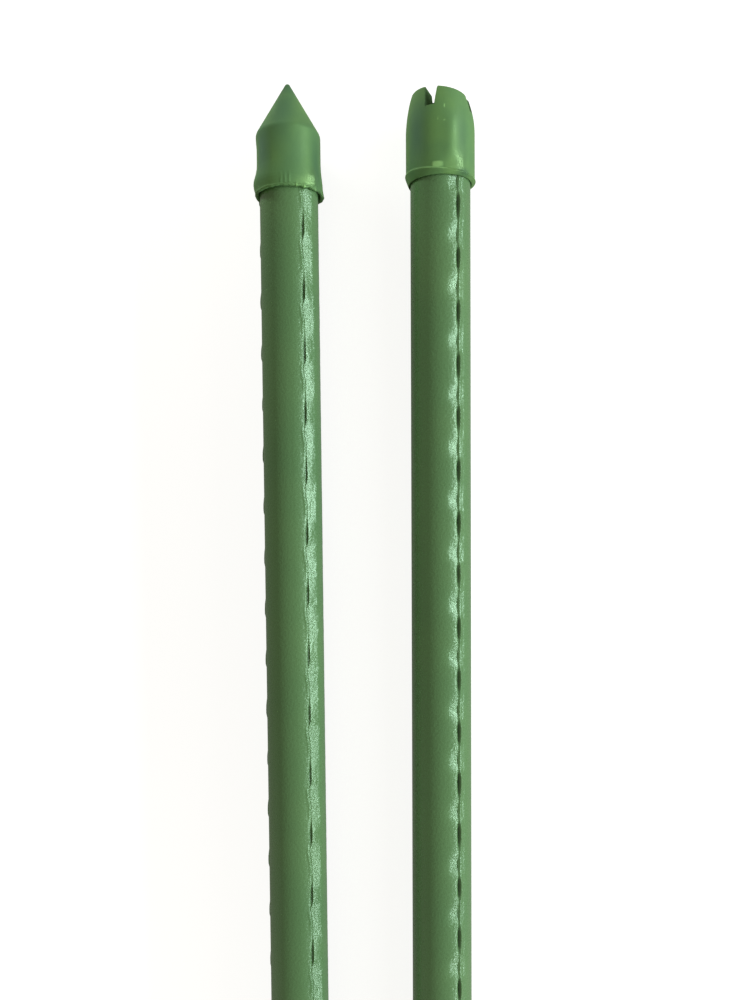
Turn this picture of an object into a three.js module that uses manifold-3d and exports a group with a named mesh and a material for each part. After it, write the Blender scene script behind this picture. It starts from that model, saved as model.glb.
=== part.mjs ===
// A pair of plastic-coated steel plant stakes, lying side by side on the floor, one turned end for end.
// Each stake is a roll-formed steel tube in a plastic coat that carries two rows of raised nubs, with a
// moulded point pushed over one end and a moulded cap with a notched crown pushed over the other.
// Millimetres, +Z up, floor at z = 0, stakes along Y. The left stake points towards +Y.

import * as THREE from "three";
import { mergeVertices } from "three/addons/utils/BufferGeometryUtils.js";
import Module from "manifold-3d";

const wasm = await Module();
wasm.setup();

// Coated tube
const stakeLength = 600; // from the point to the top of the crown
const coatDiameter = 11;
const coatThickness = 0.6;
const tubeClearance = 0.1; // between the coat and the tube
const tubeWall = 0.4;
const seamGap = 0.4; // open butt seam of the rolled tube

// Nubs on the coat
const nubLength = 5.3;
const nubWidth = 0.95;
const nubHeight = 0.5;
const nubRoot = 0.05; // how far a nub's widest section lies under the surface
const nubRowSpread = 130; // degrees round the coat from the first row to the second
const nubClearance = 0.6; // bare coat kept between a nub and a fitting

// Mouth of both fittings
const socketClearance = 0.15; // between the coat and the socket wall
const seatGap = 0.3; // between the end of the tube and the seat
const lipThickness = 0.85; // wall at the flared lip
const lipRound = 0.8; // height of the rounded underside of the lip
const mouthChamfer = 0.25;

// Point
const pointSocketDepth = 10.5;
const pointSkirtWall = 0.45;
const pointLipLand = 1.6; // widest stretch of the lip
const pointFlare = 3.4; // from the plain skirt to the lip
const pointShoulder = 0.9; // from the seat to the foot of the cone
const pointFillet = 2.5; // radius between the skirt and the cone
const pointAngle = 60; // degrees, full angle of the cone
const pointRadius = 0.55; // rounded tip
const pointSeatWidth = 1.3; // ring that the tube end stands on
const pointCoreDepth = 4; // hollow that keeps the cone's wall even
const pointCoreTip = 0.8; // radius of the hollow's blunt end

// Cap
const capSocketDepth = 10.5;
const capSkirtWall = 0.65;
const capLipLand = 0.9; // face of the bead round the lip
const capLipStep = 0.5; // from the bead to the plain skirt
const capWeb = 1.9; // floor between the socket and the notches
const crownRise = 7; // height over which the crown draws in
const crownTaper = 1.2; // how far the crown draws in
const crownEdge = 0.25; // rounded outer edge of the rim
const notchDepth = 3.7;
const notchMouth = 2.3; // width at the rim
const notchFloor = 1.95; // width at the bottom

// How the pair lies
const pairSpacing = 26.65; // between the axes at mid-length
const pairSplay = 0.445; // degrees between the axes
const pairStagger = 5.5; // how far the left stake is pushed ahead of the right one

const roundSides = 32;
const halfTurn = Math.PI;
const turn = 2 * Math.PI;
const radians = THREE.MathUtils.degToRad;

const coatRadius = coatDiameter / 2;
const boreRadius = coatRadius - coatThickness;
const tubeRadius = boreRadius - tubeClearance;
const socketRadius = coatRadius + socketClearance;
const lipRadius = socketRadius + lipThickness;
const pointSkirtRadius = socketRadius + pointSkirtWall;
const capSkirtRadius = socketRadius + capSkirtWall;

const coneSlope = Math.tan(radians(pointAngle) / 2);
const coneFoot = pointSocketDepth + pointShoulder;
const tipOffset = pointRadius / Math.sin(radians(pointAngle) / 2); // tip centre below the sharp apex
const pointHeight = coneFoot + pointSkirtRadius / coneSlope - tipOffset + pointRadius;
const capHeight = capSocketDepth + capWeb + notchDepth;

// Fittings stand on their mouths, so these are the places of the mouths and of the tube along a stake.
const pointMouth = stakeLength / 2 - pointHeight;
const capMouth = capHeight - stakeLength / 2;
const tubeTop = pointMouth + pointSocketDepth - seatGap;
const tubeBottom = capMouth - capSocketDepth + seatGap;

// A flat side of the lip, not a corner, lies on the floor.
const sideTurn = halfTurn / roundSides;
const axisHeight = lipRadius * Math.cos(sideTurn);

const finishes = {
  steel: { color: 0xa9abac, roughness: 0.4, metalness: 1 },
  coat: { color: 0x64945c, roughness: 0.45, metalness: 0 },
  fitting: { color: 0x679b5d, roughness: 0.5, metalness: 0 },
};

function toSolid(geometry) {
  const bare = geometry.clone();
  bare.deleteAttribute("normal");
  bare.deleteAttribute("uv");
  const merged = mergeVertices(bare, 1e-4);
  const corners = merged.index.array;
  const triangles = [];
  for (let i = 0; i < corners.length; i += 3) {
    const [a, b, c] = corners.slice(i, i + 3);
    if (a !== b && b !== c && c !== a) {
      triangles.push(a, b, c);
    }
  }
  const vertProperties = new Float32Array(merged.attributes.position.array);
  const triVerts = new Uint32Array(triangles);
  return new wasm.Manifold(new wasm.Mesh({ numProp: 3, vertProperties, triVerts }));
}

function toMesh(name, solid, finish) {
  const { vertProperties, triVerts } = solid.getMesh();
  const geometry = new THREE.BufferGeometry();
  geometry.setAttribute("position", new THREE.BufferAttribute(vertProperties, 3));
  geometry.setIndex(new THREE.BufferAttribute(triVerts, 1));
  geometry.computeVertexNormals();
  const mesh = new THREE.Mesh(geometry, new THREE.MeshStandardMaterial(finishes[finish]));
  mesh.name = name;
  return mesh;
}

function revolve(outline) {
  const points = outline.map(([radius, height]) => new THREE.Vector2(radius, height));
  return toSolid(new THREE.LatheGeometry(points, roundSides, sideTurn));
}

// Points of a quarter-round-like stretch, from one place to another, as fractions of a right angle.
function sweep(steps, place) {
  return Array.from({ length: steps + 1 }, (_, i) => place((i / steps) * (halfTurn / 2)));
}

// Rolled strip whose two edges almost meet along an open seam.
function steelTube(name) {
  const outerSeam = Math.asin(seamGap / 2 / tubeRadius);
  const innerRadius = tubeRadius - tubeWall;
  const innerSeam = Math.asin(seamGap / 2 / innerRadius);
  const strip = new THREE.Shape();
  strip.absarc(0, 0, tubeRadius, outerSeam, turn - outerSeam, false);
  strip.absarc(0, 0, innerRadius, turn - innerSeam, innerSeam, true);
  strip.closePath();
  const depth = tubeTop - tubeBottom;
  const tube = new THREE.ExtrudeGeometry(strip, { depth, bevelEnabled: false, curveSegments: roundSides });
  tube.rotateX(-halfTurn / 2);
  tube.translate(0, tubeBottom, 0);
  return toMesh(name, toSolid(tube), "steel");
}

// Sharp-backed spindle with pointed ends. Its outer half stands out of the coat.
function nub() {
  const stations = [-1, -0.5, 0, 0.5, 1];
  const outline = stations.map((t) => new THREE.Vector2(1 - t * t, (t * nubLength) / 2));
  const sides = 4;
  return new THREE.LatheGeometry(outline, sides).scale(nubWidth / 2, 1, nubHeight + nubRoot);
}

// A row of nubs in a straight line along the coat, starting a given way from the mouth of the cap.
function nubRow({ first, pitch }, angle) {
  const row = [];
  const reach = nubLength / 2 + nubClearance;
  const root = coatRadius * Math.cos(sideTurn) - nubRoot;
  for (let place = capMouth + first; place <= pointMouth - reach; place += pitch) {
    if (place >= capMouth + reach) {
      row.push(toSolid(nub().translate(0, place, root).rotateY(angle)));
    }
  }
  return row;
}

// Plastic sleeve over the whole tube, with its nubs.
function plasticCoat(name, rows) {
  const rod = revolve([[0, tubeBottom], [coatRadius, tubeBottom], [coatRadius, tubeTop], [0, tubeTop]]);
  const past = coatThickness; // the bore runs out of both ends
  const boreBottom = tubeBottom - past;
  const boreTop = tubeTop + past;
  const bore = revolve([[0, boreBottom], [boreRadius, boreBottom], [boreRadius, boreTop], [0, boreTop]]);
  const nubs = rows.flatMap((row, i) => nubRow(row, i * radians(nubRowSpread)));
  return toMesh(name, wasm.Manifold.union([rod, ...nubs]).subtract(bore), "coat");
}

// Outline of a fitting's mouth: down the socket wall, round the lip and up to the plain skirt.
function mouthOutline(socketDepth, skirtRadius, land, rise) {
  const edge = socketRadius + mouthChamfer;
  const underside = sweep(3, (a) => [
    edge + (lipRadius - edge) * Math.sin(a),
    lipRound * (1 - Math.cos(a)),
  ]);
  const landTop = lipRound + land;
  return [
    [socketRadius, socketDepth],
    [socketRadius, mouthChamfer],
    ...underside,
    [lipRadius, landTop],
    [skirtRadius, landTop + rise],
  ];
}

// Driven end: a cone with a rounded tip on a socket, hollowed so that its wall stays even.
function pointedTip(name) {
  const seatRadius = coatRadius - pointSeatWidth;
  const tipCentre = pointHeight - pointRadius;
  const lean = radians(pointAngle) / 2;
  const filletFoot = coneFoot - pointFillet * Math.tan(lean / 2);
  const shoulder = [0, 0.5, 1].map((t) => [
    pointSkirtRadius - pointFillet * (1 - Math.cos(lean * t)),
    filletFoot + pointFillet * Math.sin(lean * t),
  ]);
  const tangent = halfTurn / 2 - lean;
  const tip = [0, 0.5, 1].map((t) => {
    const angle = tangent * (1 - t);
    return [pointRadius * Math.sin(angle), tipCentre + pointRadius * Math.cos(angle)];
  });
  return toMesh(name, revolve([
    [0, pointSocketDepth + pointCoreDepth],
    [pointCoreTip, pointSocketDepth + pointCoreDepth],
    [seatRadius, pointSocketDepth],
    ...mouthOutline(pointSocketDepth, pointSkirtRadius, pointLipLand, pointFlare),
    ...shoulder,
    ...tip,
  ]), "fitting");
}

// Tapered slot that runs right across the crown, to be cut out of it.
function notchCutter(angle) {
  const past = notchDepth; // the cutter runs out above the rim
  const widening = (notchMouth - notchFloor) / notchDepth;
  const topHalf = (notchMouth + widening * past) / 2;
  const floorHalf = notchFloor / 2;
  const section = new THREE.Shape([
    new THREE.Vector2(-floorHalf, -notchDepth),
    new THREE.Vector2(floorHalf, -notchDepth),
    new THREE.Vector2(topHalf, past),
    new THREE.Vector2(-topHalf, past),
  ]);
  const depth = 3 * lipRadius;
  const cutter = new THREE.ExtrudeGeometry(section, { depth, bevelEnabled: false });
  return toSolid(cutter.translate(0, capHeight, -depth / 2).rotateY(angle));
}

// Top end: a socket under a solid crown, drawn in and cut off square, which two crossing slots divide into
// four prongs for twine.
function notchedCap(name, notchTurn) {
  const rimRadius = capSkirtRadius - crownTaper;
  const crownFoot = capHeight - crownRise;
  const crownSteps = [0, 0.25, 0.5, 0.75];
  const dome = crownSteps.map((t) => [capSkirtRadius - crownTaper * t * t, crownFoot + crownRise * t]);
  const edge = sweep(2, (a) => [
    rimRadius - crownEdge * (1 - Math.cos(a)),
    capHeight - crownEdge * (1 - Math.sin(a)),
  ]);
  const body = revolve([
    [0, capSocketDepth],
    ...mouthOutline(capSocketDepth, capSkirtRadius, capLipLand, capLipStep),
    ...dome,
    ...edge,
    [0, capHeight],
  ]);
  const cuts = [0, halfTurn / 2].map((angle) => notchCutter(angle + radians(notchTurn)));
  return toMesh(name, body.subtract(wasm.Manifold.union(cuts)), "fitting");
}

// One stake along Y about its middle. The coat and the cap's notches each have their own angle.
function stake(side, { coatRoll, notchTurn, rows }) {
  const tube = steelTube(`${side}_steel_tube`);
  const coat = plasticCoat(`${side}_plastic_coat`, rows);
  const point = pointedTip(`${side}_pointed_tip`);
  const cap = notchedCap(`${side}_notched_cap`, notchTurn);
  tube.rotation.y = radians(coatRoll);
  coat.rotation.y = radians(coatRoll);
  point.position.y = pointMouth;
  cap.position.y = capMouth;
  cap.rotation.z = halfTurn;
  return new THREE.Group().add(tube, coat, point, cap);
}

const left = stake("left", {
  coatRoll: -89,
  notchTurn: 34,
  rows: [{ first: 3.6, pitch: 9.82 }, { first: 13.3, pitch: 11.3 }],
});
left.position.set(-pairSpacing / 2, pairStagger / 2, axisHeight);
left.rotation.z = radians(pairSplay) / 2;

const right = stake("right", {
  coatRoll: -170.5,
  notchTurn: -13,
  rows: [{ first: 8, pitch: 11.3 }, { first: 5.4, pitch: 9.43 }],
});
right.position.set(pairSpacing / 2, -pairStagger / 2, axisHeight);
right.rotation.z = halfTurn - radians(pairSplay) / 2;

const pair = new THREE.Group().add(left, right);
export default pair;
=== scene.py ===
import math

import bpy
import numpy as np
from mathutils import Matrix, Vector


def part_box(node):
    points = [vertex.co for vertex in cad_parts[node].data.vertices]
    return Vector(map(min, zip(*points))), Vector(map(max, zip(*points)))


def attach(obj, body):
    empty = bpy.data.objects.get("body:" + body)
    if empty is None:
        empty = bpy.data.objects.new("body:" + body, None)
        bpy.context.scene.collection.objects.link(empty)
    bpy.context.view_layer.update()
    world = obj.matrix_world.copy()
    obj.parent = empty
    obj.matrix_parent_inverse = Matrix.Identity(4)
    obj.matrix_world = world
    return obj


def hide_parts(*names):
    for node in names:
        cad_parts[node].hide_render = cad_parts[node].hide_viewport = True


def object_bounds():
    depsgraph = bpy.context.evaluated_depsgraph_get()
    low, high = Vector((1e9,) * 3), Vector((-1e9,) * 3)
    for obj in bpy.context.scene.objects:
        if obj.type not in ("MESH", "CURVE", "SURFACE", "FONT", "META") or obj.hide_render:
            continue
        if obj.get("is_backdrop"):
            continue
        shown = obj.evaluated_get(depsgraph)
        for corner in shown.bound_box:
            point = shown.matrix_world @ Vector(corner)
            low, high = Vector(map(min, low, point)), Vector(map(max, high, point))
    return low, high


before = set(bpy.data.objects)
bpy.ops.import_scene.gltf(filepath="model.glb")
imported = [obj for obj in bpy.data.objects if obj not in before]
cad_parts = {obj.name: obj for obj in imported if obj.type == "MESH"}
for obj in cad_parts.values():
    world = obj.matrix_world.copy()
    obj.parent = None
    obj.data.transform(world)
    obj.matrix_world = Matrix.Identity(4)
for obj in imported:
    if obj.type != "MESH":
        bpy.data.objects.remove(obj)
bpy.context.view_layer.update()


# Steel tubes
# Cold-rolled strip, roll-formed to a tube with an open butt seam. The coat covers it and both ends stand
# in the fittings, so it keeps its CAD shape and only gets its finish.

def srgb(code):
    """A hex colour as the linear RGBA that the shader sockets take."""
    parts = [int(code[i:i + 2], 16) / 255 for i in (1, 3, 5)]
    return tuple(p / 12.92 if p <= 0.04045 else ((p + 0.055) / 1.055) ** 2.4 for p in parts) + (1.0,)


def add(tree, kind, feeds=(), **settings):
    """Adds a node. feeds are sockets, nodes or values for its inputs, in order or by name."""
    made = tree.nodes.new(kind)
    for name, value in settings.items():
        setattr(made, name, value)
    inputs = [socket for socket in made.inputs if socket.enabled]
    for key, feed in feeds.items() if isinstance(feeds, dict) else enumerate(feeds):
        socket = inputs[key] if isinstance(key, int) else next(s for s in inputs if s.name == key)
        if isinstance(feed, bpy.types.Node):
            feed = next(s for s in feed.outputs if s.enabled)
        if isinstance(feed, bpy.types.NodeSocket):
            tree.links.new(feed, socket)
        elif feed is not None:
            socket.default_value = feed
    return made


def start_material(name):
    """An empty node material and its tree, for a piece's own section to fill."""
    material = bpy.data.materials.new(name)
    material.use_nodes = True
    material.node_tree.nodes.clear()
    return material, material.node_tree


# Cold-rolled steel: fine lines along the strip from the rolls, and faint clouds of oil stain.
steel, tree = start_material("cold_rolled_steel")
place = add(tree, "ShaderNodeTexCoord").outputs["Object"]
lengthwise = add(tree, "ShaderNodeMapping", {"Vector": place, "Scale": (1, 0.02, 1)})
lines = add(tree, "ShaderNodeTexNoise", {"Vector": lengthwise, "Scale": 1 / 0.0004, "Detail": 2.0})
clouds = add(tree, "ShaderNodeTexNoise", {"Vector": place, "Scale": 1 / 0.009, "Detail": 3.0})
tint = add(tree, "ShaderNodeValToRGB", [clouds])
tint.color_ramp.elements[0].color = srgb("#8d8f90")
tint.color_ramp.elements[1].color = srgb("#b4b6b6")
gloss = add(tree, "ShaderNodeMapRange", {"Value": lines, "To Min": 0.3, "To Max": 0.48})
relief = add(tree, "ShaderNodeBump", {"Height": lines, "Strength": 0.25, "Distance": 0.00002})
surface = add(tree, "ShaderNodeBsdfPrincipled", {
    "Base Color": tint, "Metallic": 1.0, "Roughness": gloss, "Normal": relief})
add(tree, "ShaderNodeOutputMaterial", [surface])
for side in ("left", "right"):
    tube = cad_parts[f"{side}_steel_tube"]
    tube.data.materials.clear()
    tube.data.materials.append(steel)


# Plastic coats
# A polyethylene sleeve, 11 mm across, extruded over the tube, with two rows of nubs. Each row is a lap in
# the sleeve, whose upper edge is lifted at even steps to make the nubs.

# Sizes of the coat, in mm, and how far it stands in the fittings
coat_radius = 5.5
coat_bore = 4.9
point_height = 21.416
cap_height = 16.1
half_length = 300.0
seat_depth = 10.2
point_mouth = half_length - point_height
cap_mouth = cap_height - half_length
coat_top = point_mouth + seat_depth
coat_bottom = cap_mouth - seat_depth


def stake_place(side):
    """From a stake's own frame, in mm, to the part's: Y runs from the cap to the point, Z is up."""
    point_low, point_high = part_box(f"{side}_pointed_tip")
    cap_low, cap_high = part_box(f"{side}_notched_cap")
    ahead = point_low.y > cap_low.y
    point_end, crown_end = (point_high.y, cap_low.y) if ahead else (point_low.y, cap_high.y)
    point_foot, cap_foot = (point_low.y, cap_high.y) if ahead else (point_high.y, cap_low.y)
    point_middle, cap_middle = (point_low + point_high) / 2, (cap_low + cap_high) / 2
    slope = (point_middle.x - cap_middle.x) / (point_foot - cap_foot)
    middle = (point_end + crown_end) / 2
    origin = Vector((cap_middle.x + slope * (middle - cap_foot), middle, cap_middle.z))
    forward = Vector((slope, 1, 0)).normalized() * (1 if ahead else -1)
    up = Vector((0, 0, 1))
    turn = Matrix((forward.cross(up), forward, up)).transposed()
    return Matrix.Translation(origin) @ (turn * 0.001).to_4x4()


def to_mesh(name, points, faces):
    """A smooth-shaded mesh from points in mm and faces of point numbers."""
    mesh = bpy.data.meshes.new(name)
    mesh.from_pydata([tuple(p) for p in points], [], faces)
    mesh.polygons.foreach_set("use_smooth", [True] * len(mesh.polygons))
    mesh.update()
    return mesh


def round_faces(rings, columns):
    """Quads between closed rings of points that follow each other."""
    faces = []
    for i in range(rings - 1):
        low = i * columns
        high = low + columns
        for j in range(columns):
            after = (j + 1) % columns
            faces.append((low + j, low + after, high + after, high + j))
    return faces


def apply(made, modifier):
    """Makes a modifier's result the object's own mesh."""
    graph = bpy.context.evaluated_depsgraph_get()
    made.data = bpy.data.meshes.new_from_object(made.evaluated_get(graph), depsgraph=graph)
    made.modifiers.remove(modifier)


# Gaps between the sleeve's columns, by how near to a lap they lie, and between its rings, in mm.
column_gaps = ((0.3, 0.05), (0.75, 0.13), (2.5, 0.3), (math.inf, 0.9))
blunt_reach = 0.75
blunt_before = 0.4
close_ring = 0.3
wide_ring = 0.75
run_in = 1.5


def sleeve(name, rows):
    """The bare sleeve, with close columns at the laps and close rings at the nubs' blunt ends."""
    angles = []
    angle = 0.0
    while angle < 2 * math.pi:
        angles.append(angle)
        swings = [math.remainder(angle - math.radians(row["Angle"]), 2 * math.pi) for row in rows]
        reach = coat_radius * min(abs(swing) for swing in swings)
        angle += next(gap for limit, gap in column_gaps if reach < limit) / coat_radius
    angles = np.array(angles) * 2 * math.pi / angle
    heights = [coat_bottom]
    height = cap_mouth - run_in
    while height < point_mouth + run_in:
        heights.append(height)
        past = [(height - row["First"] + row["Length"] / 2 + blunt_before) % row["Pitch"] for row in rows]
        nearest = min(abs(step - blunt_before) for step in past)
        height += close_ring if nearest < blunt_reach else wide_ring
    heights.append(coat_top)
    rings = [(coat_bore, coat_bottom), *((coat_radius, y) for y in heights), (coat_bore, coat_top)]
    points = np.concatenate([
        np.stack([r * np.sin(angles), np.full(len(angles), y), r * np.cos(angles)], 1) for r, y in rings])
    columns = len(angles)
    faces = round_faces(len(rings), columns)
    last = (len(rings) - 1) * columns
    faces += [(last + j, last + (j + 1) % columns, (j + 1) % columns, j) for j in range(columns)]
    return to_mesh(name, points, faces)


# One row, as a group. The coat laps over itself there: one edge lies on the other and is lifted at each
# nub, with a slit under it that is darkened with painted shade. Between nubs the lap is pressed down and
# leaves a thin line.
# Sizes are in mm. Those that both kinds of row share are here, and each row's own are the group's inputs.
shut_lap = 0.16
wall_run = 0.05
slit_narrow = 0.1
slit_swell = 0.26
slit_brink = 0.08
bead_off = 0.4
bead_half = 0.22
flat_press = 0.8
flat_runout = 4.5
lap_past_mouth = 1.4
row_sizes = ("Angle", "Facing", "First", "Pitch", "Length", "Height", "Slope", "Slit", "Hook", "Bead",
             "Flat Before", "Flat After", "Flat Lean")
row_tree = bpy.data.node_groups.new("nub_row", "GeometryNodeTree")
row_tree.interface.new_socket("Sleeve", in_out="INPUT", socket_type="NodeSocketGeometry")
for name in (*row_sizes, "Low End", "High End"):
    row_tree.interface.new_socket(name, in_out="INPUT", socket_type="NodeSocketFloat")
row_tree.interface.new_socket("Seed", in_out="INPUT", socket_type="NodeSocketInt")
row_tree.interface.new_socket("Sleeve", in_out="OUTPUT", socket_type="NodeSocketGeometry")


def calc(operation, *feeds):
    """A sum on the values of the row's points."""
    return add(row_tree, "ShaderNodeMath", feeds, operation=operation)


def ramp(value, start, end, low=0.0, high=1.0, kind="SMOOTHSTEP"):
    """Runs from low to high while value runs from start to end."""
    return add(row_tree, "ShaderNodeMapRange", {
        "Value": value, "From Min": start, "From Max": end, "To Min": low, "To Max": high},
        interpolation_type=kind)


given = add(row_tree, "NodeGroupInput").outputs
spot = add(row_tree, "GeometryNodeInputPosition")
x, y, z = add(row_tree, "ShaderNodeSeparateXYZ", [spot]).outputs
flat = add(row_tree, "ShaderNodeCombineXYZ", [x, 0.0, z])
radius = add(row_tree, "ShaderNodeVectorMath", [flat], operation="LENGTH").outputs["Value"]
bearing = calc("ARCTAN2", x, z)
swing = calc("SUBTRACT", bearing, given["Angle"])
swing = calc("WRAP", swing, math.pi, -math.pi)
across = calc("MULTIPLY", swing, coat_radius)
across = calc("MULTIPLY", across, given["Facing"])
aside = calc("ABSOLUTE", across)

# Which nub is nearest, and its own small departures
along = calc("SUBTRACT", y, given["First"])
count = calc("DIVIDE", along, given["Pitch"])
count = calc("ROUND", count)
spare = []
for shift in (0.0, 7.0, 14.0):
    spare.append(add(row_tree, "FunctionNodeRandomValue", {
        "Min": -1.0, "Max": 1.0, "ID": count, "Seed": calc("ADD", given["Seed"], shift)}))
own_place = calc("MULTIPLY", spare[0], 0.15)
own_place = calc("MULTIPLY_ADD", count, given["Pitch"], own_place)
own_length = calc("MULTIPLY_ADD", spare[1], 0.08, 1.0)
own_length = calc("MULTIPLY", own_length, given["Length"])
own_size = calc("MULTIPLY_ADD", spare[2], 0.12, 1.0)

# How open the lap is: shut at the blunt end, open at once and shut again in a long taper.
step = calc("SUBTRACT", along, own_place)
step = calc("DIVIDE", step, own_length)
blunt = ramp(step, -0.5, -0.22)
taper = ramp(step, -0.1, 0.5, 1.0, 0.0)
body = calc("MULTIPLY", blunt, taper)
open_lap = ramp(body, 0.0, 1.0, shut_lap, own_size, "LINEAR")
shut = ramp(calc("ABSOLUTE", step), 0.3, 0.75)

# The lifted edge: a steep wall, then a slope back to the sleeve. The slit lies under the wall.
wall = ramp(across, 0.0, wall_run, kind="LINEAR")
slope = ramp(across, 2 * wall_run, given["Slope"], 1.0, 0.0)
edge = calc("MULTIPLY", wall, slope)
edge = calc("MULTIPLY", edge, given["Height"])
brink = calc("MULTIPLY_ADD", body, -slit_swell, -slit_narrow)
near_side = ramp(across, brink, calc("ADD", brink, slit_brink), kind="LINEAR")
far_side = ramp(across, 0.0, wall_run, 1.0, 0.0, "LINEAR")
slit = calc("MULTIPLY", near_side, far_side)
sunk = calc("MULTIPLY", slit, given["Slit"])
lap = calc("SUBTRACT", edge, sunk)
lap = calc("MULTIPLY", lap, open_lap)

# Between nubs a thin bead may run beside the lap, or the sleeve before it is pressed to a flat.
bead = calc("ADD", across, bead_off)
bead = calc("ABSOLUTE", bead)
bead = ramp(bead, 0.0, bead_half, given["Bead"], 0.0)
short = calc("ADD", across, given["Flat Before"])
short = calc("MAXIMUM", short, 0.0)
halfway = calc("SUBTRACT", given["Flat Before"], across)
halfway = calc("MULTIPLY_ADD", halfway, 0.5 / coat_radius, given["Flat Lean"])
hollow = calc("MULTIPLY", short, halfway)
hollow = calc("MULTIPLY", hollow, flat_press)
under = calc("LESS_THAN", across, 0.02)
hollow = calc("MULTIPLY", hollow, under)
between = calc("SUBTRACT", bead, hollow)
between = calc("MULTIPLY", between, shut)

# The upper edge is pressed to a flat for a way, with an uneven border and faint creases.
uneven = add(row_tree, "ShaderNodeTexNoise", {"Vector": spot, "Scale": 1 / 2.2, "Detail": 2.0})
uneven = ramp(uneven, 0.0, 1.0, 0.8, 1.2, "LINEAR")
border = calc("MULTIPLY", uneven, given["Flat After"])
flat_run = calc("MINIMUM", across, border)
flat_run = calc("MAXIMUM", flat_run, 0.0)
pressed = calc("MULTIPLY", flat_run, 0.5 / coat_radius)
pressed = calc("SUBTRACT", pressed, given["Flat Lean"])
pressed = calc("MULTIPLY", pressed, flat_run)
creases = add(row_tree, "ShaderNodeTexNoise", {"Vector": spot, "Scale": 1 / 0.9, "Detail": 2.0})
creases = ramp(creases, 0.0, 1.0, -0.1, 0.1, "LINEAR")
creases = calc("MULTIPLY", creases, flat_run)
pressed = calc("ADD", pressed, creases)
past = ramp(across, given["Flat After"], calc("ADD", given["Flat After"], flat_runout), 1.0, 0.0)
pressed = calc("MULTIPLY", pressed, past)

# All of it runs out inside the fittings, and the bore stays round. The lap swerves at the blunt ends.
rise = calc("ADD", lap, between)
rise = calc("ADD", rise, pressed)
low = calc("SUBTRACT", y, given["Low End"])
high = calc("SUBTRACT", given["High End"], y)
inside = calc("MINIMUM", low, high)
inside = ramp(inside, 0.0, 1.2)
rise = calc("MULTIPLY", rise, inside)
bend = ramp(step, -0.52, -0.3, 1.0, 0.0)
fade = ramp(step, -1.1, -0.55)
reach = ramp(aside, 0.3, 2.2, 1.0, 0.0)
swerve = calc("MULTIPLY", bend, fade)
swerve = calc("MULTIPLY", swerve, reach)
swerve = calc("MULTIPLY", swerve, given["Hook"])
swerve = calc("MULTIPLY", swerve, given["Facing"])
swerve = calc("MULTIPLY", swerve, -1 / coat_radius)
moved = calc("ADD", radius, rise)
turned = calc("ADD", bearing, swerve)
new_x = calc("SINE", turned)
new_x = calc("MULTIPLY", new_x, moved)
new_z = calc("COSINE", turned)
new_z = calc("MULTIPLY", new_z, moved)
skin = add(row_tree, "FunctionNodeCompare", [radius, coat_radius - 0.5], operation="GREATER_THAN")
# Painted shade: the slit is darkened in colour and kept in the slit attribute for the material.
painted_slit_shade = calc("MULTIPLY", sunk, 2.6)
painted_slit_shade = calc("MULTIPLY", painted_slit_shade, open_lap)
before = add(row_tree, "GeometryNodeInputNamedAttribute", ["slit"], data_type="FLOAT")
painted_slit_shade = calc("MAXIMUM", painted_slit_shade, before.outputs["Attribute"])
marked = add(row_tree, "GeometryNodeStoreNamedAttribute", {
    "Geometry": given["Sleeve"], "Selection": skin, "Name": "slit", "Value": painted_slit_shade},
    data_type="FLOAT", domain="POINT")
lifted = add(row_tree, "GeometryNodeSetPosition", {
    "Geometry": marked, "Selection": skin,
    "Position": add(row_tree, "ShaderNodeCombineXYZ", [new_x, y, new_z])})
add(row_tree, "NodeGroupOutput", [lifted])

# The coat: two rows, each with its own place and sizes, then the material.
coat_tree = bpy.data.node_groups.new("coat_with_nubs", "GeometryNodeTree")
coat_tree.interface.new_socket("Sleeve", in_out="INPUT", socket_type="NodeSocketGeometry")
coat_inputs = {}
for row in ("Front", "Side"):
    for name in row_sizes:
        coat_inputs[row, name] = coat_tree.interface.new_socket(
            f"{row} {name}", in_out="INPUT", socket_type="NodeSocketFloat").identifier
coat_inputs["Plastic"] = coat_tree.interface.new_socket(
    "Plastic", in_out="INPUT", socket_type="NodeSocketMaterial").identifier
coat_tree.interface.new_socket("Coat", in_out="OUTPUT", socket_type="NodeSocketGeometry")
given = add(coat_tree, "NodeGroupInput").outputs
last_row = given["Sleeve"]
for seed, row in enumerate(("Front", "Side")):
    made = add(coat_tree, "GeometryNodeGroup", node_tree=row_tree)
    coat_tree.links.new(last_row, made.inputs["Sleeve"])
    for name in row_sizes:
        coat_tree.links.new(given[f"{row} {name}"], made.inputs[name])
    made.inputs["Low End"].default_value = cap_mouth - lap_past_mouth
    made.inputs["High End"].default_value = point_mouth + lap_past_mouth
    made.inputs["Seed"].default_value = 11 + seed
    last_row = made.outputs["Sleeve"]
whole = add(coat_tree, "GeometryNodeRealizeInstances", [last_row])
whole = add(coat_tree, "GeometryNodeSetMaterial", {"Geometry": whole, "Material": given["Plastic"]})
add(coat_tree, "NodeGroupOutput", [whole])

# Extruded polyethylene: satin, finely grained, with faint lines along the draw and soft clouds of colour.
# The slits under the lifted laps are darkened with painted shade.
coat_plastic, tree = start_material("extruded_polyethylene")
place = add(tree, "ShaderNodeTexCoord").outputs["Object"]
lengthwise = add(tree, "ShaderNodeMapping", {"Vector": place, "Scale": (1, 0.05, 1)})
lines = add(tree, "ShaderNodeTexNoise", {"Vector": lengthwise, "Scale": 1 / 0.0012, "Detail": 2.0})
clouds = add(tree, "ShaderNodeTexNoise", {"Vector": place, "Scale": 1 / 0.016, "Detail": 2.0})
grain = add(tree, "ShaderNodeTexNoise", {"Vector": place, "Scale": 1 / 0.0005, "Detail": 3.0})
tint = add(tree, "ShaderNodeValToRGB", [clouds])
tint.color_ramp.elements[0].position = 0.3
tint.color_ramp.elements[0].color = srgb("#5d8757")
tint.color_ramp.elements[1].position = 0.7
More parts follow.
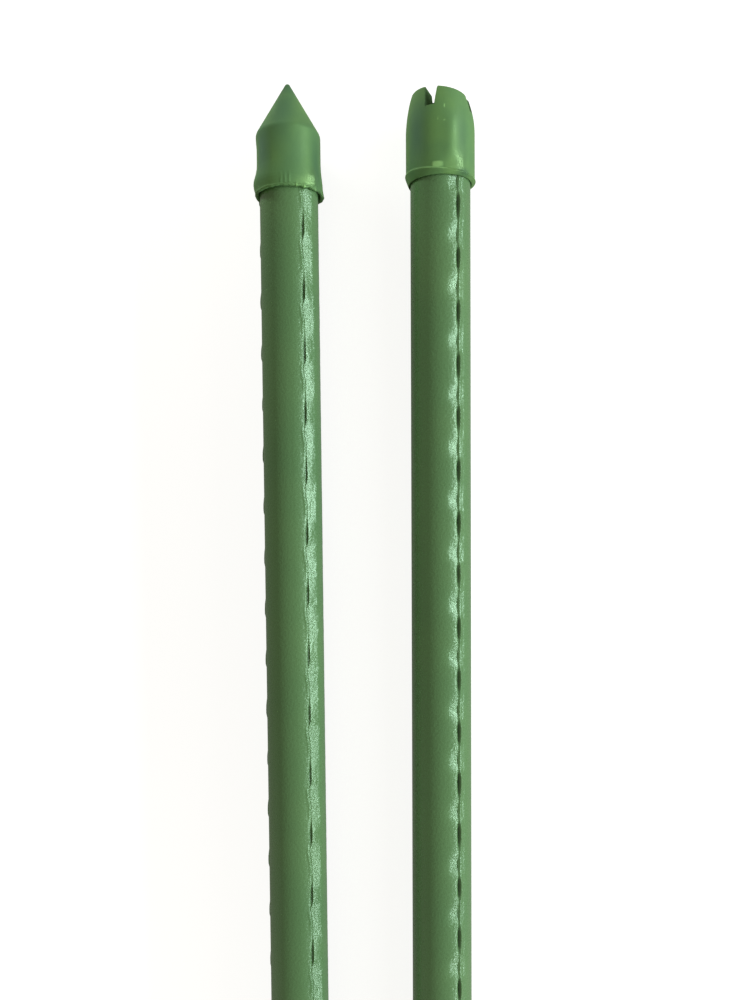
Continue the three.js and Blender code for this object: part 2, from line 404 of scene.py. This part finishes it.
tint.color_ramp.elements[1].color = srgb("#658e5b")
# Painted shade: the slits are darkened almost to black, from the slit attribute.
slit = add(tree, "ShaderNodeAttribute", attribute_name="slit")
tint = add(tree, "ShaderNodeMix", [slit.outputs["Fac"], tint, srgb("#172b10")], data_type="RGBA")
gloss = add(tree, "ShaderNodeMapRange", {
    "Value": grain, "From Min": 0.3, "From Max": 0.7, "To Min": 0.24, "To Max": 0.35})
relief = add(tree, "ShaderNodeBump", {"Height": grain, "Strength": 0.4, "Distance": 0.00018})
relief = add(tree, "ShaderNodeBump", {
    "Height": lines, "Strength": 0.2, "Distance": 0.00005, "Normal": relief})
surface = add(tree, "ShaderNodeBsdfPrincipled", {
    "Base Color": tint, "Roughness": gloss, "IOR": 1.51, "Specular IOR Level": 1.0,
    "Specular Tint": srgb("#ccf2d2"), "Normal": relief})
add(tree, "ShaderNodeOutputMaterial", [surface])


def coat(side, front, other):
    """The finished coat of one stake. front and other are its rows of nubs."""
    name = f"{side}_coat"
    rows = {"Front": front, "Side": other}
    mesh = sleeve(name, list(rows.values()))
    made = bpy.data.objects.new(name, mesh)
    bpy.context.scene.collection.objects.link(made)
    nubs = made.modifiers.new("nubs", "NODES")
    nubs.node_group = coat_tree
    for row, values in rows.items():
        for key, value in values.items():
            nubs[coat_inputs[row, key]] = math.radians(value) if key == "Angle" else float(value)
    nubs[coat_inputs["Plastic"]] = coat_plastic
    apply(made, nubs)
    made.data.transform(stake_place(side))
    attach(made, "root")
    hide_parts(f"{side}_plastic_coat")


# Two kinds of row: hooked nubs with a wide flat on one side, and slits like eyes with flats on both.
hooked = {"Facing": 1, "Length": 6.4, "Height": 0.25, "Slope": 2.6, "Slit": 0.15, "Hook": 0.4, "Bead": 0.1,
          "Flat Before": 0.0, "Flat After": 2.0, "Flat Lean": 0.005}
eyed = {"Facing": -1, "Length": 6.6, "Height": 0.45, "Slope": 1.0, "Slit": 0.38, "Hook": 0.05, "Bead": 0.0,
        "Flat Before": 2.4, "Flat After": 1.1, "Flat Lean": -0.012}
coat("left",
     {"Angle": 44, "First": cap_mouth + 13.3, "Pitch": 11.3, **hooked},
     {"Angle": -89, "First": cap_mouth + 3.6, "Pitch": 9.82, **eyed, "Flat Before": 0.8})
coat("right",
     {"Angle": -40.5, "First": cap_mouth + 5.4, "Pitch": 9.43, **eyed},
     {"Angle": -170.5, "First": cap_mouth + 8.0, "Pitch": 11.3, **hooked})


# Pointed tips
# Injection-moulded polyethylene points, pushed over the lower end of the coated tube. The skirt swells
# to a thin lip at its mouth, and the nub under it presses a flat into the skirt there.

def smooth(value, low, high):
    """0 below low, 1 above high and a soft S between them."""
    share = np.clip((value - low) / (high - low), 0, 1)
    return share * share * (3 - 2 * share)


def bump(value, centre, width):
    """A soft swelling, 1 at its centre."""
    return np.exp(-((value - centre) / width) ** 2)


def swing_to(angles, degrees):
    """How far round each angle lies from a bearing, in radians."""
    return np.remainder(angles - math.radians(degrees) + math.pi, 2 * math.pi) - math.pi


def revolve(name, outline, columns, shape):
    """A closed skin round the Y axis. shape moves the points of each ring by their bearing."""
    angles = np.arange(columns) * 2 * math.pi / columns
    rings = []
    for radius, height in outline:
        radii, heights = shape(np.full(columns, radius), np.full(columns, height), angles)
        rings.append(np.stack([radii * np.sin(angles), heights, radii * np.cos(angles)], 1))
    faces = round_faces(len(rings), columns)
    points = np.concatenate(rings)
    for ring, order in ((0, -1), (len(rings) - 1, 1)):
        centre = rings[ring].mean(0)
        points = np.concatenate([points, centre[None, :]])
        first, pole = ring * columns, len(points) - 1
        faces += [(first + j, first + (j + 1) % columns, pole)[::order] for j in range(columns)]
    return to_mesh(name, points, faces)


def spread(corners, spacing):
    """Points along straight runs between corners, no further apart than spacing."""
    path = [corners[0]]
    for (r0, h0), (r1, h1) in zip(corners, corners[1:]):
        steps = max(1, math.ceil(math.hypot(r1 - r0, h1 - h0) / spacing))
        path += [(r0 + (r1 - r0) * i / steps, h0 + (h1 - h0) * i / steps) for i in range(1, steps + 1)]
    return path


# Moulded polyethylene: softer gloss than the coat, a faint orange peel and soft clouds of colour. Each
# fitting marks where it is pale from stress and where a painted highlight lies, where painted shade darkens
# it in green or teal, where it is rubbed to a shine, and where painted shade darkens its slots.
fitting_plastic, tree = start_material("moulded_polyethylene")
place = add(tree, "ShaderNodeTexCoord").outputs["Object"]
clouds = add(tree, "ShaderNodeTexNoise", {"Vector": place, "Scale": 1 / 0.007, "Detail": 3.0})
peel = add(tree, "ShaderNodeTexNoise", {"Vector": place, "Scale": 1 / 0.0009, "Detail": 2.0})
tint = add(tree, "ShaderNodeValToRGB", [clouds])
tint.color_ramp.elements[0].position = 0.3
tint.color_ramp.elements[0].color = srgb("#5f8c5a")
tint.color_ramp.elements[1].position = 0.7
tint.color_ramp.elements[1].color = srgb("#6f9c5a")
mixed = tint
# The pale marks are stress marks and painted highlights. The other two colours are painted shade, green and
# teal.
for name, colour in (("pale_and_highlight", "#9cd486"), ("painted_shade", "#4b7450"), ("teal_painted_shade", "#587f66")):
    share = add(tree, "ShaderNodeAttribute", attribute_name=name).outputs["Fac"]
    mixed = add(tree, "ShaderNodeMix", [share, mixed, srgb(colour)], data_type="RGBA")
# Painted shade darkens the slots, which are also made rougher.
painted_slot_shade = add(tree, "ShaderNodeAttribute", attribute_name="painted_slot_shade")
painted_slot_shade = add(tree, "ShaderNodeMath", [painted_slot_shade.outputs["Fac"], 0.5], operation="MULTIPLY")
mixed = add(tree, "ShaderNodeMix", [painted_slot_shade, mixed, srgb("#2e4034")], data_type="RGBA")
gloss = add(tree, "ShaderNodeMapRange", {"Value": peel, "To Min": 0.46, "To Max": 0.56})
gloss = add(tree, "ShaderNodeMath", [gloss, painted_slot_shade], operation="ADD")
rubbed = add(tree, "ShaderNodeAttribute", attribute_name="rubbed")
gloss = add(tree, "ShaderNodeMath", [rubbed.outputs["Fac"], -0.3, gloss], operation="MULTIPLY_ADD")
relief = add(tree, "ShaderNodeBump", {"Height": peel, "Strength": 0.2, "Distance": 0.00005})
surface = add(tree, "ShaderNodeBsdfPrincipled", {
    "Base Color": mixed, "Roughness": gloss, "IOR": 1.51, "Specular IOR Level": 0.85,
    "Specular Tint": srgb("#ccffac"), "Sheen Weight": 0.06, "Sheen Roughness": 0.35,
    "Sheen Tint": srgb("#b4e88c"), "Normal": relief})
add(tree, "ShaderNodeOutputMaterial", [surface])

# Sizes of the point, in mm. The cap has the same socket and reach.
socket_radius = 5.65
outer_radius = socket_radius + 0.03
seat_radius = 4.2
socket_depth = 10.5
lip_reach = 6.46
point_skirt = 6.1
point_foot = 11.4
cone_lean = math.radians(30)
fillet = 1.6
apex_round = 0.55
flat_width = 2.0
tip_columns = 448
fillet_foot = point_foot - fillet * math.tan(cone_lean / 2)
shoulder = [(point_skirt - fillet * (1 - math.cos(a)), fillet_foot + fillet * math.sin(a))
            for a in cone_lean * np.linspace(0, 1, 7)]
apex = [(apex_round * math.sin(a), point_height - apex_round + apex_round * math.cos(a))
        for a in np.linspace(math.pi / 2 - cone_lean, 0.06, 8)]
point_outline = (
    spread([(seat_radius, socket_depth), (socket_radius, socket_depth), (socket_radius, 0.5)], 1.0)
    + spread([(5.7, 0.3), (5.8, 0.12), (5.95, 0.03), (6.15, 0.0), (6.36, 0.06), (6.45, 0.18), (6.45, 0.3),
              (6.37, 0.45), (6.38, 0.8), (6.43, 1.3), (6.45, 1.9), (6.42, 2.4), (6.35, 3.0)], 0.12)
    + spread([(6.24, 4.0), (6.14, 5.1), (point_skirt, 6.2), (point_skirt, fillet_foot - 0.2)], 0.3)
    + shoulder + spread([shoulder[-1], apex[0]], 0.3)[1:] + apex[1:])


def inside_box(radii, angles):
    """Keeps the lip inside the square that it lies on the floor in."""
    return np.minimum(radii, lip_reach / np.maximum(np.abs(np.sin(angles)), np.abs(np.cos(angles))))


def places(mesh):
    """The x, y and z of a mesh's points."""
    flat = np.empty(3 * len(mesh.vertices))
    mesh.vertices.foreach_get("co", flat)
    return flat.reshape(-1, 3).T


def mark(mesh, marks):
    """Marks spots by name: bearing, height, width, rise, strength. Pale ones have a crisp border."""
    x, y, z = places(mesh)
    for name, spots in marks.items():
        core = 0.6 if name == "pale_and_highlight" else 0.0
        marked = np.zeros(len(x))
        for bearing, height, width, rise, strength in spots:
            off = np.abs(swing_to(np.arctan2(x, z), bearing)) * np.hypot(x, z)
            reach = ((2 * off / width) ** 3 + np.abs(2 * (y - height) / rise) ** 3) ** (1 / 3)
            marked = np.maximum(marked, strength * (1 - smooth(reach, core, 1.2)))
        mesh.attributes.new(name, "FLOAT", "POINT").data.foreach_set("value", marked)


def tip(side, row, shape, marks):
    """The finished point of one stake. row is the bearing of the nubs that press on its skirt."""
    name = f"{side}_tip"

    def moved(radii, heights, angles):
        outside = (radii > outer_radius) & (heights < point_foot)
        off = swing_to(angles, row) * point_skirt
        flat = off.clip(0, flat_width) ** 2 / (2 * point_skirt) * (1 - smooth(off, flat_width - 0.1, 3.4))
        lift = flat * smooth(heights, 0.3, 1.0) * (1 - smooth(heights, 2.4, 4.5))
        radii, heights = shape(radii + np.where(outside, lift, 0), heights, angles)
        return inside_box(radii, angles), heights

    mesh = revolve(name, point_outline, tip_columns, moved)
    mark(mesh, marks)
    mesh.materials.append(fitting_plastic)
    mesh.transform(Matrix.Translation((0, point_mouth, 0)))
    mesh.transform(stake_place(side))
    made = bpy.data.objects.new(name, mesh)
    bpy.context.scene.collection.objects.link(made)
    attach(made, "root")
    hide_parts(f"{side}_pointed_tip")


# Bearings on the ragged lip, with widths and depths: burrs that hang from it, chips out of it, wrinkles.
burrs = ((29, 0.2), (43, 0.3), (66, 0.4))
chips = ((36, 0.35, 0.22), (54, 0.5, 0.16), (-20, 0.7, 0.08))
wrinkles = (3, 10, 17)


def pushed_on(radii, heights, angles):
    """The lip is pushed out of round: swollen on one side, curled out on the other, ragged at its edge."""
    outer = (radii > outer_radius) & (heights < point_foot)
    waist = np.cos(swing_to(angles, -80)).clip(0, 1) ** 2
    waist = smooth(heights, 2.5, 5.5) * (1 - smooth(heights, 8.5, 11)) * waist
    swell = bump(swing_to(angles, -64), 0, 0.5) * bump(heights, 2.2, 1.3)
    tuck = bump(swing_to(angles, -72), 0, 0.5) * bump(heights, 0.2, 0.6)
    curl = bump(swing_to(angles, 104), 0, 0.5) * (1 - smooth(heights, 0.2, 1.8))
    radii = radii + np.where(outer, 0.22 * swell - 0.14 * waist - 0.1 * tuck, 0)
    radii = radii + 0.28 * curl
    edge = 1 - smooth(heights, 0.2, 1.0)
    ragged = 0.05 * np.sin(5 * angles + 1) + 0.04 * np.sin(13 * angles + 2) + 0.03 * np.sin(29 * angles)
    for bearing, width, depth in chips:
        ragged = ragged + depth * bump(swing_to(angles, bearing) * lip_reach, 0, width)
    for bearing, width in burrs:
        burr = bump(swing_to(angles, bearing) * lip_reach, 0, width / 2)
        ragged = ragged - 0.12 * burr
        radii = radii + np.where(outer, 0.1 * burr * edge, 0)
    for bearing in wrinkles:
        fold = bump(swing_to(angles, bearing) * lip_reach, 0, 0.2) * smooth(heights, 0.2, 0.8)
        radii = radii + np.where(outer, 0.06 * fold * (1 - smooth(heights, 1.6, 2.8)), 0)
    return radii, heights + ragged.clip(-0.1, 0.4) * edge


lip_flecks = [(bearing, 0.15, 1.2 * width, 0.5, 1.0) for bearing, width in burrs]
# Painted shade darkens the tip's right side and cone, and in teal its left side. The pale marks are stress
# at the burrs.
tip_marks = {
    "pale_and_highlight": [*lip_flecks, (13.5, 3.5, 0.25, 0.25, 1.0)],
    "painted_shade": [(72, 5.0, 6.0, 18.0, 1.0), (42, 7.0, 5.0, 12.0, 0.4),
             (0, 15.0, 7.0, 16.0, 0.9), (0, 21.0, 8.0, 9.0, 1.0)],
    "teal_painted_shade": [(-37, 7.5, 6.0, 15.0, 1.0), (0, 12.0, 10.0, 24.0, 0.3)],
    "rubbed": [(54, 2.0, 3.0, 4.2, 0.85)]}
tip("left", 43, pushed_on, tip_marks)
tip("right", -40.5, pushed_on, tip_marks)


# Notched caps
# Injection-moulded polyethylene caps, pushed over the upper end. Two crossing slots divide the crown into
# four solid prongs for twine. A bead runs round the mouth, and the gate left a pale mark above it.

# Sizes of the cap, in mm, and of the blade that cuts its slots
cap_skirt = 6.3
rim_radius = 5.1
rim_edge = 0.3
crown_rise = 7.0
bead_foot = 0.2
bead_top = 1.2
bead_turn = 5
rim_lean = 0.117
slot_depth = 3.7
slot_foot = 0.85
slot_mouth = 1.15
blade_top = 3.0
blade_wide = 1.5
blade_reach = 8.0
edge_wear = 0.12
cap_columns = 336
dome = [(cap_skirt - (cap_skirt - rim_radius) * t ** 2, cap_height - crown_rise + crown_rise * t)
        for t in np.linspace(0, 0.95, 28)]
rim = [(rim_radius - rim_edge * (1 - math.cos(a)), cap_height - rim_edge * (1 - math.sin(a)))
       for a in np.linspace(0.1, math.pi / 2, 6)]
cap_outline = (
    spread([(seat_radius, socket_depth), (socket_radius, socket_depth), (socket_radius, 0.25)], 1.0)
    + spread([(5.7, 0.35), (5.74, bead_foot), (5.84, 0.22), (6.0, 0.42), (6.2, 0.72), (6.36, 0.98),
              (6.44, 1.12), (6.46, bead_top), (6.43, 1.3), (6.35, 1.38), (6.31, 1.5)], 0.1)
    + spread([(cap_skirt, 1.6), (cap_skirt, 3.6)], 0.12)
    + spread([(cap_skirt, 3.8), (cap_skirt, cap_height - crown_rise - 0.2)], 0.3)
    + dome + rim + spread([rim[-1], (0.2, cap_height)], 0.5)[1:])


def cap(side, notch_turn, rows, shape, marks):
    """The finished cap of one stake. notch_turn turns its slots, and rows are the nubs' bearings."""
    name = f"{side}_cap"

    def moved(radii, heights, angles):
        outside = (radii > outer_radius) & (heights < cap_height - 3)
        lift = np.zeros(len(angles))
        for row in rows:
            off = swing_to(angles, row) * cap_skirt
            lift += 0.24 * bump(off, -2.0, 1.25) * smooth(heights, 2.0, 4.5) * (1 - smooth(heights, 8, 12))
            lift += 0.08 * bump(off, 0.6, 0.5) * smooth(heights, 0.3, 1.2) * (1 - smooth(heights, 1.5, 5))
        radii, heights = shape(radii + np.where(outside, lift, 0), heights, angles)
        return inside_box(radii, angles), heights

    mesh = revolve(name, cap_outline, cap_columns, moved)
    made = bpy.data.objects.new(name, mesh)
    bpy.context.scene.collection.objects.link(made)
    turns = [math.radians(notch_turn + quarter) for quarter in (0, 90)]
    half = [(slot_foot, -slot_depth), (slot_mouth, 0), (blade_wide, blade_top)]
    corners = [(-slot_foot, -slot_depth), *half, *((-s, h) for s, h in half[:0:-1])]
    for turn in turns:
        points = [(s, cap_height + h, z) for z in (-blade_reach, blade_reach) for s, h in corners]
        faces = [tuple(range(6)), tuple(range(11, 5, -1))]
        faces += [(i, i + 6, (i + 1) % 6 + 6, (i + 1) % 6) for i in range(6)]
        blade_mesh = to_mesh(f"{name}_slot", points, faces)
        blade_mesh.transform(Matrix.Rotation(turn, 4, "Y"))
        blade_mesh.flip_normals()
        blade = bpy.data.objects.new(f"{name}_slot", blade_mesh)
        bpy.context.scene.collection.objects.link(blade)
        cut = made.modifiers.new("slot", "BOOLEAN")
        cut.object = blade
        cut.operation = "DIFFERENCE"
        cut.solver = "EXACT"
        apply(made, cut)
        bpy.data.objects.remove(blade)
    soften = made.modifiers.new("worn_edges", "BEVEL")
    soften.width = edge_wear
    soften.segments = 2
    soften.limit_method = "ANGLE"
    soften.angle_limit = math.radians(35)
    apply(made, soften)
    made.data.materials.clear()
    made.data.materials.append(fitting_plastic)
    mark(made.data, marks)
    x, y, z = places(made.data)
    # Painted shade: the points on the walls and floors of the slots.
    painted_slot_shade = np.zeros(len(x))
    near = 0.02
    for turn in turns:
        off = np.abs(x * math.cos(turn) - z * math.sin(turn))
        wide = np.interp(y - cap_height, [h for s, h in half], [s for s, h in half])
        painted_slot_shade = np.maximum(painted_slot_shade, (off < wide + near) & (y > cap_height - slot_depth - near))
    made.data.attributes.new("painted_slot_shade", "FLOAT", "POINT").data.foreach_set("value", painted_slot_shade)
    made.data.transform(Matrix.Rotation(math.pi, 4, "Z"))
    made.data.transform(Matrix.Translation((0, cap_mouth, 0)))
    made.data.transform(stake_place(side))
    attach(made, "root")
    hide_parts(f"{side}_notched_cap")


gate_mark = (0.5, 1.75, 2.0, 1.1, 0.9)


def bead_rise(angles):
    """How far the top of the bead lies from its mean height."""
    turned = angles - math.radians(bead_turn)
    return -0.05 - 0.65 * np.sin(turned) - 0.15 * np.cos(2 * turned)


def uneven_bead(radii, heights, angles):
    """The bead stands higher on one side, and the crown's rim leans the same way."""
    lean = np.sin(angles)
    crown = smooth(heights, cap_height - 6, cap_height - 0.5)
    bead = ((heights - bead_foot) / (bead_top - bead_foot)).clip(0, 1) * (1 - smooth(heights, bead_top, 4))
    bead = np.where(radii > outer_radius, bead_rise(angles) * bead, 0)
    heights = heights - lean * rim_lean * radii * crown + bead
    bearing, height, width, rise, _ = gate_mark
    gate = 1 - smooth(np.abs(swing_to(angles, bearing)) * radii, 0.42 * width, 0.5 * width)
    gate = gate * (1 - smooth(np.abs(heights - height), 0.36 * rise, 0.5 * rise)) * (radii > cap_skirt - 0.1)
    return radii + 0.05 * gate, heights


flecks = [(12.5, 12.0, 0.25, 0.6, 0.9), (12, 9.3, 0.4, 0.3, 0.5), (1.5, 9.7, 0.25, 0.3, 0.5)]
# A painted highlight along the top edge of the bead, where light falls on it.
painted_bead_highlight = [(bearing, bead_top + 0.08 + bead_rise(math.radians(bearing)), 1.2, 0.26, 0.5)
             for bearing in range(-84, 16, 4)]
# Painted shade darkens the skirt right of its highlight and by the bead, and in teal its left side.
cap_marks = {
    "pale_and_highlight": [gate_mark, *flecks, *painted_bead_highlight],
    "painted_shade": [(43, 7.0, 3.4, 13.0, 1.0), (47, 0.8, 4.0, 2.4, 1.0)],
    "teal_painted_shade": [(-37, 8.0, 6.0, 17.0, 1.0)],
    "rubbed": [(38, 2.5, 3.8, 5.0, 0.85), (27, 8.0, 4.0, 9.0, 0.4)]}
cap("left", 34, (-41, 89), uneven_bead, cap_marks)
cap("right", -13, (40.5, 170.5), uneven_bead, cap_marks)


# Floor, light and camera
# A plain white floor and white surroundings. A long strip on the right, with a brighter stretch by the ends
# that show, makes the highlights. Soft strips on both sides and a lamp past each end fill in.

def in_view(tree):
    """1 for what the camera sees, and a fifth of that for what gloss mirrors."""
    path = add(tree, "ShaderNodeLightPath").outputs
    direct = [path["Is Camera Ray"], path["Is Transmission Ray"]]
    seen = add(tree, "ShaderNodeMath", direct, operation="MAXIMUM")
    mirrored = add(tree, "ShaderNodeMath", [path["Is Glossy Ray"], 0.2], operation="MULTIPLY")
    return add(tree, "ShaderNodeMath", [seen, mirrored], operation="MAXIMUM")


floor_white, tree = start_material("white_floor")
lit = add(tree, "ShaderNodeBsdfDiffuse", [srgb("#b4b4b4")])
glow = add(tree, "ShaderNodeEmission", [srgb("#ffffff"), 0.88])
seen = add(tree, "ShaderNodeAddShader", [lit, glow])
dim = add(tree, "ShaderNodeBsdfDiffuse", [srgb("#8d8672")])
add(tree, "ShaderNodeOutputMaterial", [add(tree, "ShaderNodeMixShader", [in_view(tree), dim, seen])])
floor_mesh = bpy.data.meshes.new("floor")
floor_reach = 6
floor_turns = ((-1, -1), (1, -1), (1, 1), (-1, 1))
floor_mesh.from_pydata([(floor_reach * x, floor_reach * y, 0) for x, y in floor_turns], [], [(0, 1, 2, 3)])
floor_mesh.materials.append(floor_white)
floor = bpy.data.objects.new("floor", floor_mesh)
bpy.context.scene.collection.objects.link(floor)
floor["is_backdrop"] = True

world = bpy.data.worlds.new("white_surroundings")
bpy.context.scene.world = world
world.use_nodes = True
tree = world.node_tree
tree.nodes.clear()
around = add(tree, "ShaderNodeBackground", [srgb("#fff0c4"), 0.19])
white = add(tree, "ShaderNodeBackground", [srgb("#ffffff"), 1.0])
add(tree, "ShaderNodeOutputWorld", [add(tree, "ShaderNodeMixShader", [in_view(tree), around, white])])

# Where the lamps aim, in metres: the height of the stakes, and how far along they reach.
stake_height = 0.0065
stake_end = 0.28


def lamp(name, across, height, along, width, length, power, colour, mirrored):
    """A soft box that faces the stakes, or their ends from beyond them, in metres and watts."""
    light = bpy.data.lights.new(name, "AREA")
    light.shape = "RECTANGLE"
    light.size = width
    light.size_y = length
    light.energy = power
    light.color = srgb(colour)[:3]
    made = bpy.data.objects.new(name, light)
    made.location = (across, along, height)
    above = height - stake_height
    beyond = max(-stake_end, min(stake_end, along)) - along
    made.rotation_euler = (math.atan2(beyond, math.hypot(across, above)), math.atan2(across, above), 0)
    made.visible_camera = False
    made.visible_glossy = mirrored
    bpy.context.scene.collection.objects.link(made)


lamp("soft_strip", 0.05, 0.047, 0.0, 0.025, 0.9, 0.05, "#f8faff", False)
lamp("left_strip", -0.11, 0.04, -0.15, 0.05, 0.6, 0.07, "#ffffff", False)
lamp("bright_strip", 0.571, 0.192, 0.0, 0.06, 1.4, 3.5, "#f4f8ff", True)
lamp("hot_strip", 0.571, 0.192, 0.25, 0.06, 0.32, 1.3, "#f4f8ff", True)
for end, along in (("near", 0.38), ("far", -0.38)):
    lamp(f"{end}_end_fill", -0.09, 0.014, along, 0.05, 0.025, 0.13, "#f8fbff", False)

camera = bpy.data.cameras.new("camera")
camera.lens = 27.646
camera.sensor_width = 36.0
camera.clip_start = 0.005
viewer = bpy.data.objects.new("camera", camera)
viewer.location = (0.02726, 0.22658, 0.14876)
viewer.rotation_euler = [math.radians(a) for a in (-1.213, 10.143, -0.46)]
bpy.context.scene.collection.objects.link(viewer)
bpy.context.scene.camera = viewer
bpy.context.scene.view_settings.view_transform = "Standard"

low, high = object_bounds()
